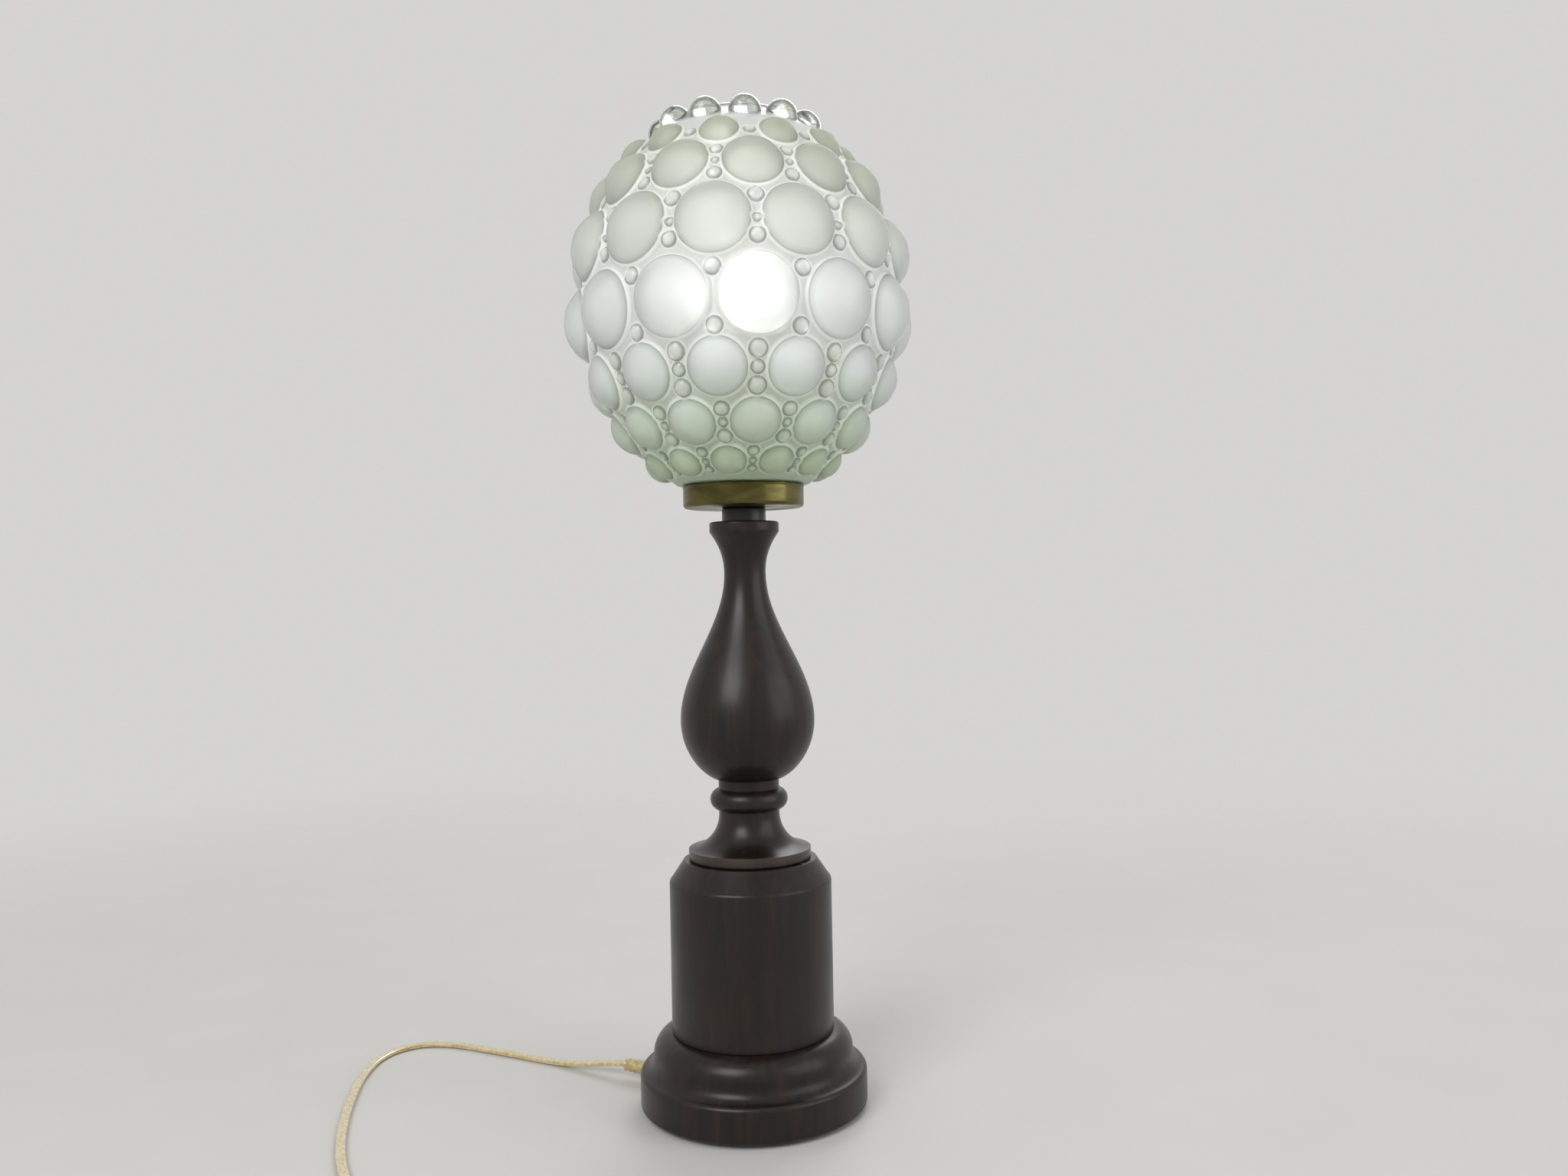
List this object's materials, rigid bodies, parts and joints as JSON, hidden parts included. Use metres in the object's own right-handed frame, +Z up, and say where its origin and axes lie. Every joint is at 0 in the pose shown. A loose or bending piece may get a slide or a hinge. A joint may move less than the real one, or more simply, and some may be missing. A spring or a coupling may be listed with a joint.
{
  "type": "table lamp",
  "caption": "Table lamp with a turned dark wood column, a brass gallery and an open-topped pale green bubble-glass globe, on a long flex with an inline switch and plug.",
  "frame": {"origin": "on the table, under the lamp's axis, at the underside of the felt", "axes": "+Z up along the column, -Y towards the front of the lamp as pictured, +X to its right"},
  "size_m": [0.3315, 0.3844, 0.5581],
  "materials": {
    "dark_wood": "very dark brown satin lacquer on turned wood",
    "felt": "dark green felt",
    "zinc_steel": "zinc-plated steel",
    "black_lacquer": "black, satin",
    "aged_brass": "aged lacquered brass",
    "bright_brass": "plain brass",
    "rubber": "soft black rubber",
    "sage_glass": "satin pale green moulded glass",
    "clear_glass": "clear glass beads",
    "cream_plastic": "moulded lampholder plastic",
    "porcelain": "glazed porcelain",
    "nickel": "nickel plate",
    "bulb_white": "white moulded housing",
    "opal": "opal diffuser",
    "black_glass": "black insulating glass",
    "flex_core": "copper cores in clear sheath",
    "clear_flex": "clear twin flex, golden cores showing through",
    "white_plastic": "white moulded plastic"
  },
  "bodies": {
    "lamp": {"base_felt": "felt", "foot": "dark_wood", "drum": "dark_wood", "baluster": "dark_wood", "threaded_tube": "zinc_steel", "base_washer": "zinc_steel", "base_nut": "zinc_steel", "neck_spacer": "black_lacquer", "gallery": "aged_brass", "gallery_nut": "bright_brass", "globe_gasket": "rubber", "holder_base": "cream_plastic", "holder_core": "porcelain", "holder_sleeve": "cream_plastic", "screw_shell": "bright_brass", "centre_contact": "bright_brass", "terminal_screws": "nickel", "inner_flex": "flex_core", "cord_relief": "clear_flex", "cord_lead": "clear_flex", "switch_base": "white_plastic", "switch_cover": "white_plastic", "switch_screws": "zinc_steel", "cord_link": "clear_flex", "cord_coil": "clear_flex", "cord_tie": "white_plastic", "cord_tail": "clear_flex", "plug_sleeve": "white_plastic", "plug_body": "white_plastic", "plug_pins": "nickel"},
    "globe": {"globe_neck": "sage_glass", "globe_cup": "sage_glass", "globe_belly": "sage_glass", "globe_flank": "sage_glass", "globe_dome": "sage_glass", "globe_bubbles": "sage_glass", "globe_crown": "clear_glass"},
    "bulb_foot": {"bulb_contact": "nickel", "bulb_insulator": "black_glass"},
    "bulb": {"bulb_cap": "nickel", "bulb_housing": "bulb_white", "bulb_dome": "opal"},
    "rocker": {"switch_rocker": "white_plastic"}
  },
  "joints": [
    {"name": "globe_lift", "type": "slide", "parent": "lamp", "child": "globe", "axis": [0, 0, 1], "range_m": [0, 0.16]},
    {"name": "bulb_rise", "type": "slide", "parent": "lamp", "child": "bulb_foot", "axis": [0, 0, 1], "range_m": [0, 0.01453]},
    {"name": "bulb_turn", "type": "hinge", "parent": "bulb_foot", "child": "bulb", "pos_m": [0, 0, 0.4], "axis": [0, 0, 1], "range_deg": [0, 1440]},
    {"name": "rocker_tilt", "type": "hinge", "parent": "lamp", "child": "rocker", "pos_m": [-0.195, -0.182, 0.011], "axis": [1, 0, 0], "range_deg": [0, 16]}
  ],
  "couplings": [
    {"joint": "bulb_rise", "follows": "bulb_turn", "m_per_rad": 0.00057773}
  ]
}
